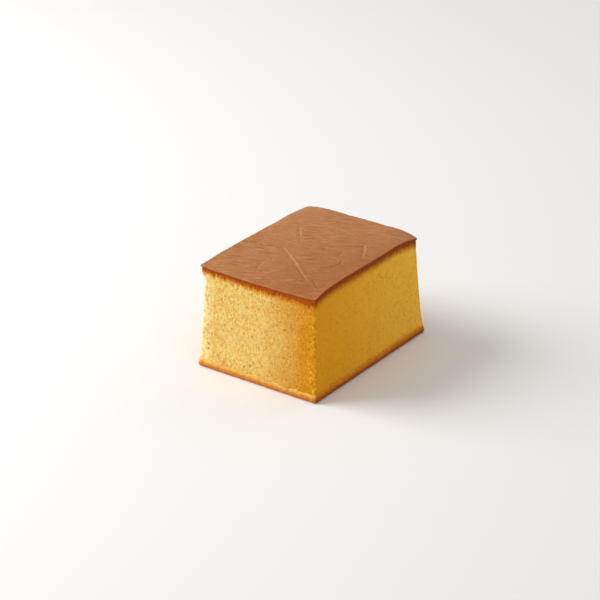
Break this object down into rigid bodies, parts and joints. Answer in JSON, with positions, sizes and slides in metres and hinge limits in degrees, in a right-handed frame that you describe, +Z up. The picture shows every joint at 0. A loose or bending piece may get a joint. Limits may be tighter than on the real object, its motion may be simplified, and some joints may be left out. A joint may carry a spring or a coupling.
{
  "type": "castella sponge cake block",
  "caption": "Rectangular block of castella sponge cake with a thin browned top crust, cut yellow crumb sides and a browned band at its base.",
  "frame": {"origin": "middle of the flat bottom of the block", "axes": "+Z up from the bottom to the browned top, +Y along the length of the loaf, +X across the loaf"},
  "size_m": [0.0772, 0.1024, 0.0595],
  "materials": {
    "crumb": "matte open sponge crumb, golden yellow with fine pores",
    "crust": "thin satin baked crust, mid brown on top and red-brown at its edges"
  },
  "bodies": {
    "root": {"castella_block": "crumb"}
  },
  "joints": []
}
